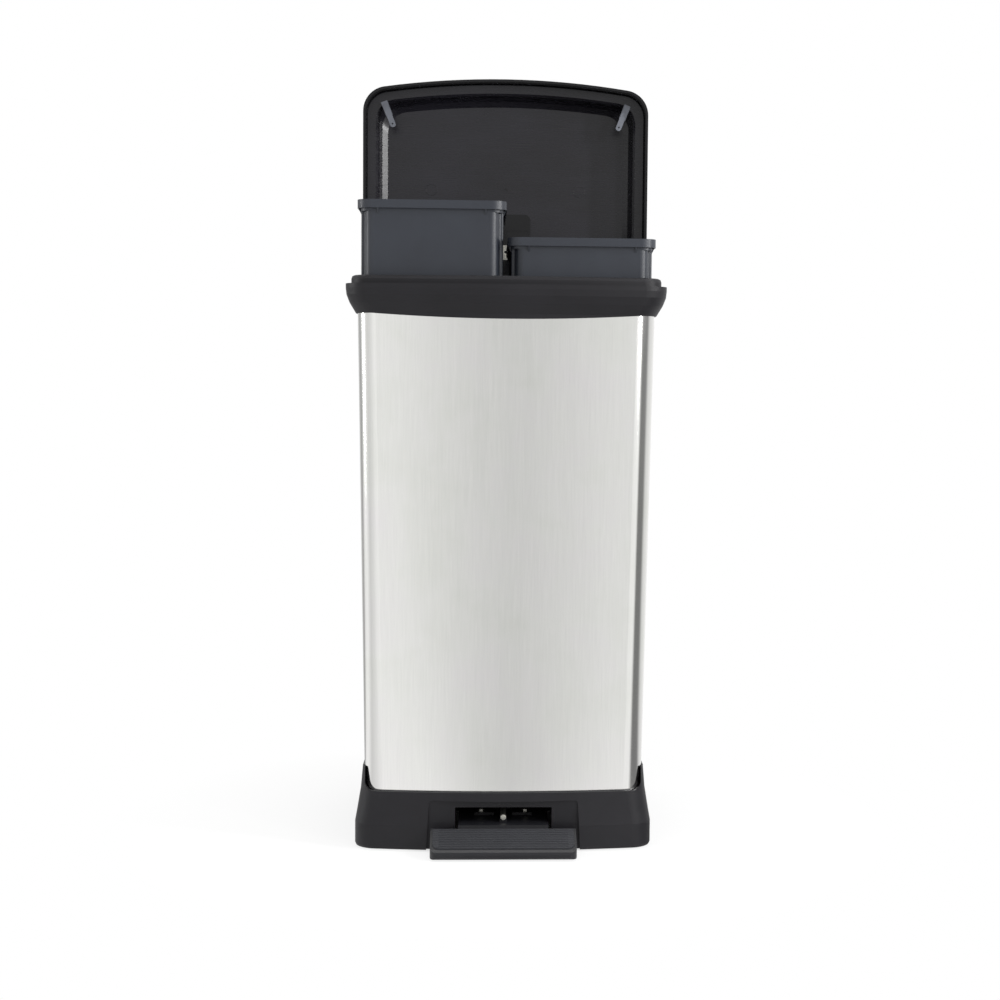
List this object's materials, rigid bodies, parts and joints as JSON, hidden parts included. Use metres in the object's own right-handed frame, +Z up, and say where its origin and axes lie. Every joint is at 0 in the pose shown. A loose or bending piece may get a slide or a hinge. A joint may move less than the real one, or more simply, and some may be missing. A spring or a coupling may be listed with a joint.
{
  "type": "double recycling pedal bin",
  "caption": "Tall bin with silver body, dark collar and base, pedal-operated domed lid standing open, and lift-out inner buckets side by side",
  "frame": {"origin": "on the floor in the middle of the four feet, half way between the collar's front and back", "axes": "+Z up, the pedal and the open mouth of the lid face -Y, +X to the right seen from the front"},
  "size_m": [0.348, 0.3703, 0.878],
  "materials": {
    "silver_body": "fine vertical brushing, satin",
    "black_plastic": "fine texture, low gloss",
    "lid_gloss": "smooth, glossy",
    "lid_liner": "smooth, semi gloss",
    "bucket_grey": "smooth, semi gloss",
    "peg_grey": "smooth",
    "pedal_plastic": "fine texture",
    "pad_rubber": "ribbed",
    "galvanised_steel": "drawn and galvanised",
    "foot_rubber": "matt"
  },
  "bodies": {
    "bin": {"base": "black_plastic", "feet": "foot_rubber", "body_sleeve": "silver_body", "collar": "black_plastic", "hinge_pins": "galvanised_steel", "rod_guide_lower": "black_plastic", "rod_guide_upper": "black_plastic", "rod_cover": "black_plastic", "pedal_pin": "galvanised_steel"},
    "lid": {"lid_shell": "lid_gloss", "lid_liner": "lid_liner", "lid_pegs": "peg_grey", "lid_bracket": "lid_gloss", "lid_lever": "galvanised_steel", "lever_pin": "galvanised_steel"},
    "rod": {"push_rod": "galvanised_steel", "rod_head": "galvanised_steel", "rod_foot": "black_plastic"},
    "pedal_lever": {"pedal": "pedal_plastic", "pedal_pad": "pad_rubber", "lever_rod": "galvanised_steel", "lever_clamp": "black_plastic", "clamp_screws": "galvanised_steel"},
    "bucket_left": {"left_bucket": "bucket_grey"},
    "bucket_right": {"right_bucket": "bucket_grey"}
  },
  "joints": [
    {"name": "lid_hinge", "type": "hinge", "parent": "bin", "child": "lid", "pos_m": [0, 0.1205, 0.606], "axis": [1, 0, 0], "range_deg": [0, 90]},
    {"name": "pedal_pivot", "type": "hinge", "parent": "bin", "child": "pedal_lever", "pos_m": [0, -0.0445, 0.0285], "axis": [-1, 0, 0], "range_deg": [0, 9.75]},
    {"name": "rod_slide", "type": "slide", "parent": "bin", "child": "rod", "axis": [0, 0, 1], "range_m": [-0.02546, 0]},
    {"name": "left_bucket_lift", "type": "slide", "parent": "bin", "child": "bucket_left", "axis": [0, 0, 1], "range_m": [-0.086, 0]},
    {"name": "right_bucket_lift", "type": "slide", "parent": "bin", "child": "bucket_right", "axis": [0, 0, 1], "range_m": [-0.0475, 0]}
  ],
  "couplings": [
    {"joint": "pedal_pivot", "follows": "lid_hinge", "ratio": 0.10833},
    {"joint": "rod_slide", "follows": "lid_hinge", "m_per_rad": -0.016206},
    {"joint": "left_bucket_lift", "follows": "lid_hinge", "m_per_rad": -0.054749},
    {"joint": "right_bucket_lift", "follows": "lid_hinge", "m_per_rad": -0.030239}
  ]
}
